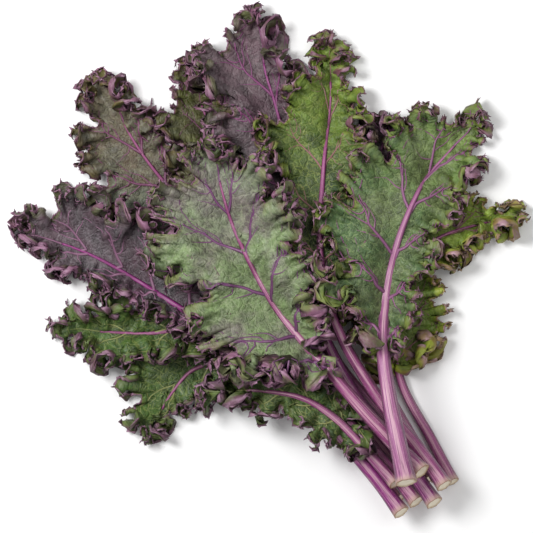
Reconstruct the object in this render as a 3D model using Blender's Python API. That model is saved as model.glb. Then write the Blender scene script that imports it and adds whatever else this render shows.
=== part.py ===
"""Builds a bunch of purple curly kale, cut and laid down, with each leaf as one closed solid.

Metres, +Z up. The cut stalks point along -Y and the leaves fan out towards +Y, over the origin. A leaf is
a stalk that runs on as a midrib, with a thin lobed blade whose margin ruffles up and down. The leaves are
laid down one after another, and each settles on the ones already there, with a small gap between them.
"""

import math
from dataclasses import dataclass

import bpy
import numpy as np

# Driving dimensions
TIP_RADIUS = 0.0012  # the midrib's at its end
WING = 0.0008  # the ridge along each side of the bare stalk
FLARE = 0.25  # how much wider a stalk is at its cut end, as a share of its radius
FLARE_LENGTH = 0.014
TAPER_FROM = 0.15  # the share of the route up to which the stalk keeps its radius
MIDRIB_END = 0.91  # the share of the route at which the midrib ends; the blade's tip reaches on past it
RIB_HEIGHT = 0.87  # half the stalk's height, in radii
RIB_OFFSET = 0.35  # how far the midrib stands off to the underside of the blade, in its half heights
RIB_LEAST = 0.0006  # how far the midrib always stands proud of the blade
BLADE_THICKNESS = 0.0014
RUFFLE = 0.0068  # how far the margin waves up and down
INNER_RUFFLE = 0.35  # the share of that wave left halfway to the midrib
LOBE_DEPTH = 0.16  # how deep the notches between the lobes are, as a share of the blade's reach
GAP = 0.0010  # left between leaves that lie on each other
TO_MIDDLE = (-0.0037, -0.0014)  # brings the middle of the bunch over the origin
MOST_DROOP = 0.45  # the steepest fall of a blade from its midrib to its margin

# The shares of the blade's length at which its reach is given
REACH_AT = (0.0, 0.10, 0.28, 0.46, 0.64, 0.82, 1.0)
# How far forward the side veins point: at the blade's base, and how much more with its length
VEIN_BASE = math.radians(8)
VEIN_TURN = math.radians(34)
VEIN_TIP_TURN = math.radians(30)

# How finely a leaf is divided
STALK_STATIONS = 8
BLADE_STATIONS = 27
ROUTE_SAMPLES = 400
WAVE_STATIONS = 4  # blade stations in one wave of the margin
SETTLING_ROUNDS = 260
LIFT_ROUNDS = 24

# The grid that keeps the height of the pile
CELL = 0.001
PILE_HALF = np.array((0.26, 0.28))
NEARBY = 6  # cells around a point that must lie below it

GREEN = (0.13, 0.22, 0.10, 1.0)
PURPLE = (0.15, 0.08, 0.13, 1.0)
LEAF_ROUGHNESS = 0.6
SHARP_EDGE = math.radians(50)

# A leaf's top is eight lines of points: margin, blade, four across the midrib, blade and margin.
LINES = 8
MARGINS = (0, 7)
HALFWAY = (1, 6)
CROWN = (3, 4)
RIB_ACROSS = (-1.0, -0.5, 0.5, 1.0)  # in radii from the middle
# The five parts of a cross-section that settle by themselves: margin, blade, midrib, blade, margin
PART_OF_LINE = (0, 1, 2, 2, 2, 2, 3, 4)
RIB = 2


@dataclass
class Leaf:
    name: str
    route: tuple  # where the midrib runs seen from above, from the cut end to the tip
    stalk: float  # radius
    blade_from: float  # the share of the route at which the blade begins
    left: tuple  # how far the blade reaches at each of REACH_AT after the first, walking to the tip
    right: tuple
    lobes: int  # on each side
    rib_up: bool  # True where the underside with its raised rib faces up
    material: str


# In the order in which they are laid down
LEAVES = (
    Leaf("leaf_hanging",
         ((-0.013, -0.186), (-0.022, -0.138), (-0.037, -0.088), (-0.061, -0.039), (-0.095, -0.022),
          (-0.122, -0.028), (-0.156, -0.048)), 0.0048,
         0.50, (0.020, 0.030, 0.033, 0.034, 0.020, 0.016), (0.024, 0.036, 0.042, 0.046, 0.042, 0.026),
         4, False, "leaf_green"),
    Leaf("leaf_upper_left",
         ((0.001, -0.188), (-0.007, -0.133), (-0.016, -0.062), (-0.029, 0.031), (-0.046, 0.099),
          (-0.053, 0.150), (-0.050, 0.201)), 0.0048,
         0.54, (0.030, 0.040, 0.046, 0.056, 0.050, 0.040), (0.024, 0.028, 0.034, 0.040, 0.028, 0.030),
         5, True, "leaf_purple"),
    Leaf("leaf_back_left",
         ((0.014, -0.184), (0.006, -0.132), (-0.004, -0.067), (-0.009, 0.015), (-0.002, 0.100),
          (0.010, 0.181)), 0.0048,
         0.54, (0.030, 0.044, 0.048, 0.046, 0.044, 0.030), (0.026, 0.036, 0.038, 0.036, 0.032, 0.026),
         5, False, "leaf_green"),
    Leaf("leaf_far_right",
         ((0.027, -0.195), (0.029, -0.156), (0.031, -0.109), (0.047, -0.067), (0.076, -0.038),
          (0.112, -0.028), (0.172, -0.043)), 0.0040,
         0.38, (0.024, 0.036, 0.044, 0.038, 0.033, 0.022), (0.048, 0.042, 0.026, 0.031, 0.020, 0.022),
         5, False, "leaf_green"),
    Leaf("leaf_back_right",
         ((0.018, -0.186), (0.017, -0.141), (0.021, -0.100), (0.045, -0.045), (0.080, 0.011),
          (0.119, 0.072)), 0.0042,
         0.50, (0.020, 0.028, 0.034, 0.034, 0.032, 0.024), (0.018, 0.026, 0.030, 0.030, 0.028, 0.020),
         5, True, "leaf_purple"),
    Leaf("leaf_lower_left",
         ((-0.004, -0.194), (-0.012, -0.146), (-0.026, -0.091), (-0.049, -0.037), (-0.081, 0.002),
          (-0.121, 0.022), (-0.171, 0.055)), 0.0052,
         0.50, (0.018, 0.022, 0.024, 0.022, 0.034, 0.028), (0.020, 0.024, 0.026, 0.027, 0.034, 0.030),
         5, False, "leaf_green"),
    Leaf("leaf_left",
         ((-0.018, -0.195), (-0.023, -0.155), (-0.034, -0.107), (-0.067, -0.016), (-0.098, 0.048),
          (-0.126, 0.095), (-0.161, 0.135)), 0.0052,
         0.54, (0.014, 0.016, 0.018, 0.024, 0.033, 0.026), (0.024, 0.040, 0.046, 0.054, 0.055, 0.034),
         5, True, "leaf_purple"),
    Leaf("leaf_low_front",
         ((-0.011, -0.173), (-0.018, -0.138), (-0.026, -0.106), (-0.042, -0.078), (-0.071, -0.056),
          (-0.101, -0.041)), 0.0042,
         0.22, (0.018, 0.026, 0.016, 0.025, 0.014, 0.016), (0.012, 0.018, 0.024, 0.026, 0.024, 0.016),
         5, False, "leaf_green"),
    Leaf("leaf_top_left",
         ((0.007, -0.201), (0.003, -0.150), (-0.004, -0.091), (0.003, -0.020), (0.034, 0.057),
          (0.052, 0.115), (0.061, 0.151), (0.077, 0.185)), 0.0054,
         0.48, (0.028, 0.042, 0.050, 0.062, 0.072, 0.036), (0.020, 0.024, 0.026, 0.028, 0.029, 0.033),
         5, True, "leaf_purple"),
    Leaf("leaf_top_centre",
         ((0.020, -0.193), (0.017, -0.159), (0.009, -0.101), (0.010, -0.044), (0.026, 0.006),
          (0.060, 0.060), (0.093, 0.106), (0.113, 0.145)), 0.0052,
         0.44, (0.026, 0.036, 0.044, 0.058, 0.040, 0.030), (0.028, 0.034, 0.036, 0.036, 0.031, 0.027),
         5, False, "leaf_green"),
    Leaf("leaf_front_left",
         ((0.011, -0.175), (0.000, -0.132), (-0.012, -0.074), (-0.023, -0.010), (-0.021, 0.050),
          (-0.013, 0.088), (-0.003, 0.116)), 0.0056,
         0.36, (0.024, 0.066, 0.057, 0.078, 0.058, 0.030), (0.006, 0.036, 0.050, 0.056, 0.052, 0.023),
         5, True, "leaf_green"),
    Leaf("leaf_front_right",
         ((-0.005, -0.176), (0.016, -0.114), (0.036, -0.070), (0.074, -0.022), (0.115, 0.011),
          (0.151, 0.025), (0.181, 0.035)), 0.0066,
         0.36, (0.026, 0.056, 0.068, 0.055, 0.050, 0.024), (0.022, 0.026, 0.032, 0.040, 0.040, 0.026),
         5, True, "leaf_green"),
)


def smooth_route(points):
    """A smooth curve through the points, as positions and directions at even steps, and its length."""
    points = np.array(points) + TO_MIDDLE
    ends = np.vstack([2 * points[0] - points[1], points, 2 * points[-1] - points[-2]])
    place = np.linspace(0, len(points) - 1, ROUTE_SAMPLES)
    first = np.minimum(place.astype(int), len(points) - 2)
    u = (place - first)[:, None]
    a, b, c, d = (ends[first + k] for k in range(4))
    curve = 0.5 * (2 * b + (c - a) * u + (2 * a - 5 * b + 4 * c - d) * u**2 + (3 * b - a - 3 * c + d) * u**3)
    walked = np.concatenate([[0], np.cumsum(np.linalg.norm(np.diff(curve, axis=0), axis=1))])
    even = np.linspace(0, walked[-1], ROUTE_SAMPLES)
    curve = np.stack([np.interp(even, walked, curve[:, k]) for k in range(2)], axis=1)
    heading = np.gradient(curve, axis=0)
    return curve, heading / np.linalg.norm(heading, axis=1)[:, None], walked[-1]


def stations(leaf):
    """Shares of the midrib at which the leaf is cut across, closer together towards the tip."""
    stalk = np.linspace(0, leaf.blade_from, STALK_STATIONS, endpoint=False)
    along = 1 - (1 - np.linspace(0, 1, BLADE_STATIONS)) ** 1.25
    return np.concatenate([stalk, leaf.blade_from + (1 - leaf.blade_from) * along])


def margin_reach(leaf, given, s):
    """How far the margin lies from the midrib at s, the share of the blade's length."""
    reach = np.interp(s, REACH_AT, (leaf.stalk, *given))
    notch = 0.5 + 0.5 * np.cos(2 * math.pi * leaf.lobes * s)
    return reach * (1 - LOBE_DEPTH * (1 - s) * notch)


def stalk_radius(leaf, length, share):
    """The stalk's radius: flared at the cut, even along the stalk, and thin at the end of the midrib."""
    thinned = (np.clip(share - TAPER_FROM, 0, 1) / (1 - TAPER_FROM)) ** 0.9
    taper = leaf.stalk + (TIP_RADIUS - leaf.stalk) * thinned
    return taper * (1 + FLARE * np.exp(-share * length / FLARE_LENGTH))


def at_shares(values, share):
    """Values that are known along the whole route, read at shares of the midrib."""
    at = share * MIDRIB_END * (ROUTE_SAMPLES - 1)
    samples = np.arange(ROUTE_SAMPLES)
    return np.stack([np.interp(at, samples, values[:, k]) for k in range(2)], axis=1)


class Plan:
    """A leaf seen from above: where its eight lines of points run, station by station."""

    def __init__(self, leaf):
        curve, heading, length = smooth_route(leaf.route)
        share = stations(leaf)
        self.count = len(share)
        self.mid = at_shares(curve, share)
        along = at_shares(heading, share)
        along /= np.linalg.norm(along, axis=1)[:, None]
        left = np.stack([-along[:, 1], along[:, 0]], axis=1)
        s = np.clip((share - leaf.blade_from) / (1 - leaf.blade_from), 0, 1)
        self.in_blade = s > 0
        self.radius = stalk_radius(leaf, length, share)
        forward = (VEIN_BASE + VEIN_TURN * s + VEIN_TIP_TURN * s**5) * self.in_blade
        sides = []
        for side, given in ((1, leaf.left), (-1, leaf.right)):
            outward = left * (side * np.cos(forward))[:, None] + along * np.sin(forward)[:, None]
            reach = np.maximum(margin_reach(leaf, given, s) * self.in_blade, self.radius + WING)
            halfway = 0.5 * (reach + self.radius)
            sides.append([self.mid + outward * far[:, None] for far in (reach, halfway)])
        rib = [self.mid + left * (-across * self.radius)[:, None] for across in RIB_ACROSS]
        self.lines = np.stack([sides[0][0], sides[0][1], *rib, sides[1][1], sides[1][0]], axis=1)


def offsets(leaf, plan):
    """Heights of the top and the underside above the leaf's own surface, by station and line."""
    top = np.full((plan.count, LINES), BLADE_THICKNESS / 2)
    under = -top
    rise = RIB_OFFSET if leaf.rib_up else -RIB_OFFSET
    half = RIB_HEIGHT * plan.radius
    least = BLADE_THICKNESS / 2 + RIB_LEAST
    for line in CROWN:
        top[:, line] = np.maximum(half * (1 + rise * plan.in_blade), least)
        under[:, line] = -np.maximum(half * (1 - rise * plan.in_blade), least)
    phase = np.arange(plan.count) * 2 * math.pi / WAVE_STATIONS
    for side in (0, 1):
        ruffle = RUFFLE * np.sin(phase + side * math.pi / 2) * plan.in_blade
        top[:, MARGINS[side]] = under[:, MARGINS[side]] = ruffle
        top[:, HALFWAY[side]] += INNER_RUFFLE * ruffle
        under[:, HALFWAY[side]] += INNER_RUFFLE * ruffle
    return top, under


def leaf_triangles(count):
    """The triangles of a leaf with that many stations, wound so that they face outwards."""
    last = LINES - 1

    def top(i, j):
        return i * LINES + j

    def under(i, j):
        return top(i, j) if j in MARGINS else (count + i) * LINES - 2 * i + j - 1

    # Each quad is split from its first corner, so that the top and the underside are split alike.
    quads = []
    for i in range(count - 1):
        for j in range(last):
            quads.append((top(i, j), top(i, j + 1), top(i + 1, j + 1), top(i + 1, j)))
            quads.append((under(i, j), under(i + 1, j), under(i + 1, j + 1), under(i, j + 1)))
    for j in range(last):
        quads.append((under(0, j), under(0, j + 1), top(0, j + 1), top(0, j)))
    # At the tip, the left half of the last station is joined to its right half.
    end = count - 1
    for j in range(LINES // 2 - 1):
        quads.append((top(end, j), top(end, j + 1), top(end, last - j - 1), top(end, last - j)))
        quads.append((under(end, j), under(end, last - j), under(end, last - j - 1), under(end, j + 1)))
    triangles = []
    for quad in quads:
        corners = [point for k, point in enumerate(quad) if point != quad[k - 1]]
        triangles += [(corners[0], corners[k], corners[k + 1]) for k in range(1, len(corners) - 1)]
    return triangles


class Pile:
    """The height of what lies there so far, on a grid seen from above."""

    def __init__(self):
        self.height = np.zeros((2 * PILE_HALF / CELL).astype(int))

    def cell(self, xy):
        return np.floor((xy + PILE_HALF) / CELL).astype(int)

    def widened(self):
        """The heights with each cell raised to the highest of its neighbours."""
        padded = np.pad(self.height, 1)
        columns, rows = self.height.shape
        near = [padded[a : a + columns, b : b + rows] for a in range(3) for b in range(3)]
        return np.max(near, axis=0)

    def cells_under(self, corners):
        """The cells that a triangle covers, and its height over each."""
        low = self.cell(corners[:, :2].min(axis=0))
        high = self.cell(corners[:, :2].max(axis=0)) + 1
        x, y = np.meshgrid(np.arange(low[0], high[0]), np.arange(low[1], high[1]), indexing="ij")
        px = (x + 0.5) * CELL - PILE_HALF[0]
        py = (y + 0.5) * CELL - PILE_HALF[1]
        (ax, ay, az), (bx, by, bz), (cx, cy, cz) = corners
        area = (bx - ax) * (cy - ay) - (cx - ax) * (by - ay)
        if abs(area) < CELL * CELL * 1e-3:
            return x[:0], y[:0], px[:0]
        u = ((px - ax) * (cy - ay) - (cx - ax) * (py - ay)) / area
        v = ((bx - ax) * (py - ay) - (px - ax) * (by - ay)) / area
        inside = (u >= 0) & (v >= 0) & (u + v <= 1)
        z = az + u * (bz - az) + v * (cz - az)
        return x[inside], y[inside], z[inside]

    def add(self, points, triangles):
        for triangle in triangles:
            x, y, z = self.cells_under(points[list(triangle)])
            self.height[x, y] = np.maximum(self.height[x, y], z)

    def shortfall(self, points, triangles, wide):
        """How far each point has to rise for its triangles to clear the pile."""
        short = np.zeros(len(points))
        for triangle in triangles:
            x, y, z = self.cells_under(points[list(triangle)])
            if len(z):
                need = (wide[x, y] + GAP * (wide[x, y] > 0) - z).max()
                corners = list(triangle)
                short[corners] = np.maximum(short[corners], need)
        return short

    def least_heights(self, plan, under, wide):
        """The lowest that each part of each station can lie, read around its own points."""
        least = np.zeros((plan.count, RIB * 2 + 1))
        steps = range(-NEARBY, NEARBY + 1, 2)
        for line, part in enumerate(PART_OF_LINE):
            cells = self.cell(plan.lines[:, line])
            spread = plan.in_blade * (part != RIB)
            for a in steps:
                for b in steps:
                    over = wide[cells[:, 0] + a * spread, cells[:, 1] + b * spread]
                    needed = over + GAP * (over > 0) - under[:, line]
                    least[:, part] = np.maximum(least[:, part], needed)
        return least


def keep_stalk_whole(plan, height):
    """A bare stalk does not bend across: all its parts lie as high as the highest."""
    bare = ~plan.in_blade
    height[bare] = height[bare].max(axis=1)[:, None]


def evened(line):
    return np.convolve(np.pad(line, 1, mode="edge"), (0.25, 0.5, 0.25), mode="valid")


def relax(plan, height, least):
    """Lets the leaf sag on to what is under it: the stalk stays stiff, and the blade falls beside it."""
    reach = [np.linalg.norm(plan.lines[:, line] - plan.mid, axis=1) for line in MARGINS]
    for _ in range(SETTLING_ROUNDS):
        rib = height[:, RIB]
        ends = np.concatenate([[3 * rib[0] - 2 * rib[1], 2 * rib[0] - rib[1]], rib,
                               [2 * rib[-1] - rib[-2], 3 * rib[-1] - 2 * rib[-2]]])
        stiff = (4 * (ends[1:-3] + ends[3:-1]) - ends[:-4] - ends[4:]) / 6
        height[:, RIB] = np.maximum(least[:, RIB], 0.4 * rib + 0.6 * stiff - 0.00006)
        for part, side, share in ((1, 0, 0.5), (0, 0, 1.0), (3, 1, 0.5), (4, 1, 1.0)):
            fallen = height[:, RIB] - MOST_DROOP * reach[side] * share
            sunk = np.maximum(least[:, part], evened(height[:, part]) - 0.00012)
            height[:, part] = np.maximum(sunk, fallen)
        keep_stalk_whole(plan, height)
    return height


def solid_points(plan, top, under, height):
    """Every point of the leaf: the top's eight lines by station, then the underside's six inner lines."""
    lift = height[:, PART_OF_LINE]
    upper = np.dstack([plan.lines, lift + top]).reshape(-1, 3)
    lower = np.dstack([plan.lines, lift + under])[:, 1:-1].reshape(-1, 3)
    return np.vstack([upper, lower])


def settle(leaf, pile):
    """The points of the leaf's solid and its triangles, resting on the pile and clear of it."""
    plan = Plan(leaf)
    top, under = offsets(leaf, plan)
    triangles = leaf_triangles(plan.count)
    wide = pile.widened()
    least = pile.least_heights(plan, under, wide)
    keep_stalk_whole(plan, least)
    height = relax(plan, np.maximum(least, least.max(axis=1)[:, None]), least)
    stations_of = np.repeat(np.arange(plan.count), LINES), np.repeat(np.arange(plan.count), LINES - 2)
    parts_of = np.tile(PART_OF_LINE, plan.count), np.tile(PART_OF_LINE[1:-1], plan.count)
    station, part = np.concatenate(stations_of), np.concatenate(parts_of)
    for _ in range(LIFT_ROUNDS):
        points = solid_points(plan, top, under, height)
        short = pile.shortfall(points, triangles, wide)
        if short.max() <= 0:
            break
        rise = np.zeros_like(height)
        np.maximum.at(rise, (station, part), short)
        height += rise
        height[:, RIB] = np.maximum(height[:, RIB], evened(height[:, RIB]))
        keep_stalk_whole(plan, height)
    return solid_points(plan, top, under, height), triangles


def leaf_material(name):
    material = bpy.data.materials.get(name)
    if material is None:
        material = bpy.data.materials.new(name)
        material.use_nodes = True
        shader = material.node_tree.nodes["Principled BSDF"]
        shader.inputs["Base Color"].default_value = GREEN if name == "leaf_green" else PURPLE
        shader.inputs["Roughness"].default_value = LEAF_ROUGHNESS
    return material


def add_leaf(leaf, points, triangles):
    mesh = bpy.data.meshes.new(leaf.name)
    mesh.from_pydata(points.tolist(), [], triangles)
    mesh.update()
    mesh.shade_smooth()
    mesh.set_sharp_from_angle(angle=SHARP_EDGE)
    mesh.materials.append(leaf_material(leaf.material))
    bpy.context.scene.collection.objects.link(bpy.data.objects.new(leaf.name, mesh))


def main():
    for old in list(bpy.data.objects):
        bpy.data.objects.remove(old)
    pile = Pile()
    for leaf in LEAVES:
        points, triangles = settle(leaf, pile)
        pile.add(points, triangles)
        add_leaf(leaf, points, triangles)


main()
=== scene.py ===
"""A bunch of purple curly kale, cut and laid down: the looks of its twelve leaves, with a floor, lights and a
camera that looks straight down.

A blade is a sheet of points in rows from the midrib to the margin. Its margin has grown longer than the
sheet has room for, so the sheet is let go, and it buckles into ruffles of its own accord. It stays between
the leaves below and the leaves above it. The stalk, the midrib and the side veins are tubes on the sheet.
"""

import math
from collections import namedtuple
from dataclasses import dataclass

import bpy
import numpy as np
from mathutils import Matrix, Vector


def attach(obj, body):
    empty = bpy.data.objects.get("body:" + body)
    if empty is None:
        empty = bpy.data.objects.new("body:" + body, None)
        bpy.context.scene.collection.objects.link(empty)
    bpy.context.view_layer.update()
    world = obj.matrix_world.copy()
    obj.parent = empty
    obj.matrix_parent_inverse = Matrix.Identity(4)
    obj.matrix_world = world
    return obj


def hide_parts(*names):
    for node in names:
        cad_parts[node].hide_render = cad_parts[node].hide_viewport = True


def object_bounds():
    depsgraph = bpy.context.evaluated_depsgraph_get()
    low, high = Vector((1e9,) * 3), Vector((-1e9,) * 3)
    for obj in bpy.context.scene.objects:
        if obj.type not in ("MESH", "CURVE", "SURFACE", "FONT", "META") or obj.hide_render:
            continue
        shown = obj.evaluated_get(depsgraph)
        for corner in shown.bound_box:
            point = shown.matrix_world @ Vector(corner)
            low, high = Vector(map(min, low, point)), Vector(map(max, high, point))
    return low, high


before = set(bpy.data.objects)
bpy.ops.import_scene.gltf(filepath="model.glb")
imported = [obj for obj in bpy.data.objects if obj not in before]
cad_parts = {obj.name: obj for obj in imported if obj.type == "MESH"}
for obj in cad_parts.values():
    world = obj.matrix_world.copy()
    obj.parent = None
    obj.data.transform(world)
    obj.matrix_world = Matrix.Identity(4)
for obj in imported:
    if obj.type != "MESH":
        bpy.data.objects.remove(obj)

bl_info = {
    "name": "Curly Kale Bunch",
    "version": (1, 0, 0),
    "blender": (4, 5, 0),
    "location": "3D View > Sidebar > Kale",
    "description": "Grows the ruffled leaves of a bunch of purple kale around its plain model",
    "category": "Object",
}

CAD_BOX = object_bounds()

# How the plain model makes a leaf, whose stalk runs on as its midrib. A share is of the length of both.
TO_MIDDLE = (-0.0037, -0.0014)  # moves the routes so that the bunch is centred
ROUTE_SAMPLES = 400
MIDRIB_END = 0.91  # the share of the route at which the midrib ends
TIP_RADIUS = 0.0012  # of the midrib at its end
TAPER_FROM = 0.15  # the share from which it thins
TAPER_POWER = 0.9
FLARE = 0.25  # how much thicker the stalk is at its cut end
FLARE_LENGTH = 0.014
RIB_HEIGHT = 0.87  # of the stalk's section, beside its width
RIB_OFFSET = 0.35  # how far the midrib is moved towards the underside, beside half its height
RIB_LEAST = 0.0006  # how far it stands out of the blade at the least
CROWN_ASIDE = 0.5  # where the top of its section has its corners, in radii from the middle
WING = 0.0008  # how far the blade stands out beside the stalk where it begins
BLADE_THICKNESS = 0.0014
REACH_AT = (0.0, 0.10, 0.28, 0.46, 0.64, 0.82, 1.0)  # the shares of the blade at which its reach is given
LOBE_DEPTH = 0.16
RUFFLE = 0.0068  # how far the margin rises and falls
INNER_RUFFLE = 0.35  # how much of that is left halfway out
WAVE_STATIONS = 4  # sections to one wave of the margin
STALK_STATIONS = 8
BLADE_STATIONS = 27
STATIONS_CROWD = 1.25  # the power by which the sections stand closer towards the tip
VEIN_BASE = math.radians(8)  # how far forward the blade's sections point by its base
VEIN_TURN = math.radians(34)  # how much further they turn on their way to the tip
VEIN_TIP_TURN = math.radians(30)


@dataclass
class Leaf:
    name: str
    route: tuple  # where the midrib runs seen from above, from the cut end to the tip
    stalk: float  # radius
    blade_from: float  # the share of the midrib at which the blade begins
    left: tuple  # how far the blade reaches at each of REACH_AT after the first, walking to the tip
    right: tuple
    lobes: int  # on each side
    rib_up: bool  # True where the underside with its raised rib faces up
    look: str  # which of LOOKS it has

    def sides(self):
        """Each side's sign, and how far the blade reaches there at each of REACH_AT."""
        return (1, (self.stalk, *self.left)), (-1, (self.stalk, *self.right))

    def share_at(self, s):
        """The share of the midrib at a share of the blade."""
        return self.blade_from + (1 - self.blade_from) * s


# In the order in which they are laid down
LEAVES = (
    Leaf("leaf_hanging",
         ((-0.013, -0.186), (-0.022, -0.138), (-0.037, -0.088), (-0.061, -0.039), (-0.095, -0.022),
          (-0.122, -0.028), (-0.156, -0.048)), 0.0048,
         0.50, (0.020, 0.030, 0.033, 0.034, 0.020, 0.016), (0.024, 0.036, 0.042, 0.046, 0.042, 0.026),
         4, False, "dark_green"),
    Leaf("leaf_upper_left",
         ((0.001, -0.188), (-0.007, -0.133), (-0.016, -0.062), (-0.029, 0.031), (-0.046, 0.099),
          (-0.053, 0.150), (-0.050, 0.201)), 0.0048,
         0.54, (0.030, 0.040, 0.046, 0.056, 0.050, 0.040), (0.024, 0.028, 0.034, 0.040, 0.028, 0.030),
         5, True, "olive"),
    Leaf("leaf_back_left",
         ((0.014, -0.184), (0.006, -0.132), (-0.004, -0.067), (-0.009, 0.015), (-0.002, 0.100),
          (0.010, 0.181)), 0.0048,
         0.54, (0.030, 0.044, 0.048, 0.046, 0.044, 0.030), (0.026, 0.036, 0.038, 0.036, 0.032, 0.026),
         5, False, "olive"),
    Leaf("leaf_far_right",
         ((0.027, -0.195), (0.029, -0.156), (0.031, -0.109), (0.047, -0.067), (0.076, -0.038),
          (0.112, -0.028), (0.172, -0.043)), 0.0040,
         0.38, (0.024, 0.036, 0.044, 0.038, 0.033, 0.022), (0.048, 0.042, 0.026, 0.031, 0.020, 0.022),
         5, False, "bright_green"),
    Leaf("leaf_back_right",
         ((0.018, -0.186), (0.017, -0.141), (0.021, -0.100), (0.045, -0.045), (0.080, 0.011),
          (0.119, 0.072)), 0.0042,
         0.50, (0.020, 0.028, 0.034, 0.034, 0.032, 0.024), (0.018, 0.026, 0.030, 0.030, 0.028, 0.020),
         5, True, "dark_purple"),
    Leaf("leaf_lower_left",
         ((-0.004, -0.194), (-0.012, -0.146), (-0.026, -0.091), (-0.049, -0.037), (-0.081, 0.002),
          (-0.121, 0.022), (-0.171, 0.055)), 0.0052,
         0.50, (0.018, 0.022, 0.024, 0.022, 0.034, 0.028), (0.020, 0.024, 0.026, 0.027, 0.034, 0.030),
         5, False, "dark_green"),
    Leaf("leaf_left",
         ((-0.018, -0.195), (-0.023, -0.155), (-0.034, -0.107), (-0.067, -0.016), (-0.098, 0.048),
          (-0.126, 0.095), (-0.161, 0.135)), 0.0052,
         0.54, (0.014, 0.016, 0.018, 0.024, 0.033, 0.026), (0.024, 0.040, 0.046, 0.054, 0.055, 0.034),
         5, True, "dusky_purple"),
    Leaf("leaf_low_front",
         ((-0.011, -0.173), (-0.018, -0.138), (-0.026, -0.106), (-0.042, -0.078), (-0.071, -0.056),
          (-0.101, -0.041)), 0.0042,
         0.22, (0.018, 0.026, 0.016, 0.025, 0.014, 0.016), (0.012, 0.018, 0.024, 0.026, 0.024, 0.016),
         5, False, "dark_green"),
    Leaf("leaf_top_left",
         ((0.007, -0.201), (0.003, -0.150), (-0.004, -0.091), (0.003, -0.020), (0.034, 0.057),
          (0.052, 0.115), (0.061, 0.151), (0.077, 0.185)), 0.0054,
         0.48, (0.028, 0.042, 0.050, 0.062, 0.072, 0.036), (0.020, 0.024, 0.026, 0.028, 0.029, 0.033),
         5, True, "purple"),
    Leaf("leaf_top_centre",
         ((0.020, -0.193), (0.017, -0.159), (0.009, -0.101), (0.010, -0.044), (0.026, 0.006),
          (0.060, 0.060), (0.093, 0.106), (0.113, 0.145)), 0.0052,
         0.44, (0.026, 0.036, 0.044, 0.058, 0.040, 0.030), (0.028, 0.034, 0.036, 0.036, 0.031, 0.027),
         5, False, "fresh_green"),
    Leaf("leaf_front_left",
         ((0.011, -0.175), (0.000, -0.132), (-0.012, -0.074), (-0.023, -0.010), (-0.021, 0.050),
          (-0.013, 0.088), (-0.003, 0.116)), 0.0056,
         0.36, (0.024, 0.066, 0.057, 0.078, 0.058, 0.030), (0.006, 0.036, 0.050, 0.056, 0.052, 0.023),
         5, True, "sage"),
    Leaf("leaf_front_right",
         ((-0.005, -0.176), (0.016, -0.114), (0.036, -0.070), (0.074, -0.022), (0.115, 0.011),
          (0.151, 0.025), (0.181, 0.035)), 0.0066,
         0.36, (0.026, 0.056, 0.068, 0.055, 0.050, 0.024), (0.022, 0.026, 0.032, 0.040, 0.040, 0.026),
         5, True, "sage_bright"),
)


# ---------------------------------------------------------------------------------------------------------
# The plan of a leaf


def walked_along(line):
    """How far along a line each of its points is."""
    return np.concatenate([[0], np.cumsum(np.linalg.norm(np.diff(line, axis=0), axis=1))])


def read_along(at, known, values):
    """X and Y, which are known at some steps along a line, read at others."""
    return np.stack([np.interp(at, known, values[:, k]) for k in range(2)], axis=1)


def unit(vectors):
    return vectors / np.maximum(np.linalg.norm(vectors, axis=1), 1e-9)[:, None]


def evened(line, rounds=1):
    for _ in range(rounds):
        line = np.convolve(np.pad(line, 1, mode="edge"), (0.25, 0.5, 0.25), mode="valid")
    return line


def smoothed(line, reach):
    """A running mean over that many samples to each side."""
    padded = np.pad(line, reach, mode="edge")
    total = np.concatenate([[0], np.cumsum(padded)])
    return (total[2 * reach + 1:] - total[:-2 * reach - 1]) / (2 * reach + 1)


def eased(u):
    return u * u * (3 - 2 * u)


def wander(at, span, rng):
    """A smooth random value between -1 and 1 that changes over about a span."""
    knots = rng.uniform(-1, 1, int(at.max() / span) + 4)
    place = at / span
    first = place.astype(int)
    u = eased(place - first)
    return knots[first] * (1 - u) + knots[first + 1] * u


def forward_angle(s):
    return VEIN_BASE + VEIN_TURN * s + VEIN_TIP_TURN * s**5


def stalk_radius(leaf, length, share):
    thinned = (np.clip(share - TAPER_FROM, 0, 1) / (1 - TAPER_FROM)) ** TAPER_POWER
    taper = leaf.stalk + (TIP_RADIUS - leaf.stalk) * thinned
    return taper * (1 + FLARE * np.exp(-share * length / FLARE_LENGTH))


class Route:
    """Where the midrib of a leaf runs seen from above: a smooth curve through points, in even steps."""

    def __init__(self, points):
        points = np.array(points) + TO_MIDDLE
        ends = np.vstack([2 * points[0] - points[1], points, 2 * points[-1] - points[-2]])
        place = np.linspace(0, len(points) - 1, ROUTE_SAMPLES)
        first = np.minimum(place.astype(int), len(points) - 2)
        u = (place - first)[:, None]
        a, b, c, d = (ends[first + k] for k in range(4))
        square = 2 * a - 5 * b + 4 * c - d
        cube = 3 * b - a - 3 * c + d
        curve = 0.5 * (2 * b + (c - a) * u + square * u**2 + cube * u**3)
        walked = walked_along(curve)
        even = np.linspace(0, walked[-1], ROUTE_SAMPLES)
        self.length = walked[-1]
        self.curve = read_along(even, walked, curve)
        self.heading = unit(np.gradient(self.curve, axis=0))

    @staticmethod
    def at_shares(values, share):
        """Values that are known along the whole route, read at shares of the midrib."""
        return read_along(share * MIDRIB_END * (ROUTE_SAMPLES - 1), np.arange(ROUTE_SAMPLES), values)

    def places(self, share):
        return self.at_shares(self.curve, share)

    def directions(self, share):
        """The directions ahead and to the left."""
        ahead = unit(self.at_shares(self.heading, share))
        return ahead, np.stack([-ahead[:, 1], ahead[:, 0]], axis=1)

    def outward(self, share, side, angle):
        """The direction out to a side, turned forward by an angle."""
        ahead, left = self.directions(share)
        return left * (side * np.cos(angle))[:, None] + ahead * np.sin(angle)[:, None]


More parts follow.
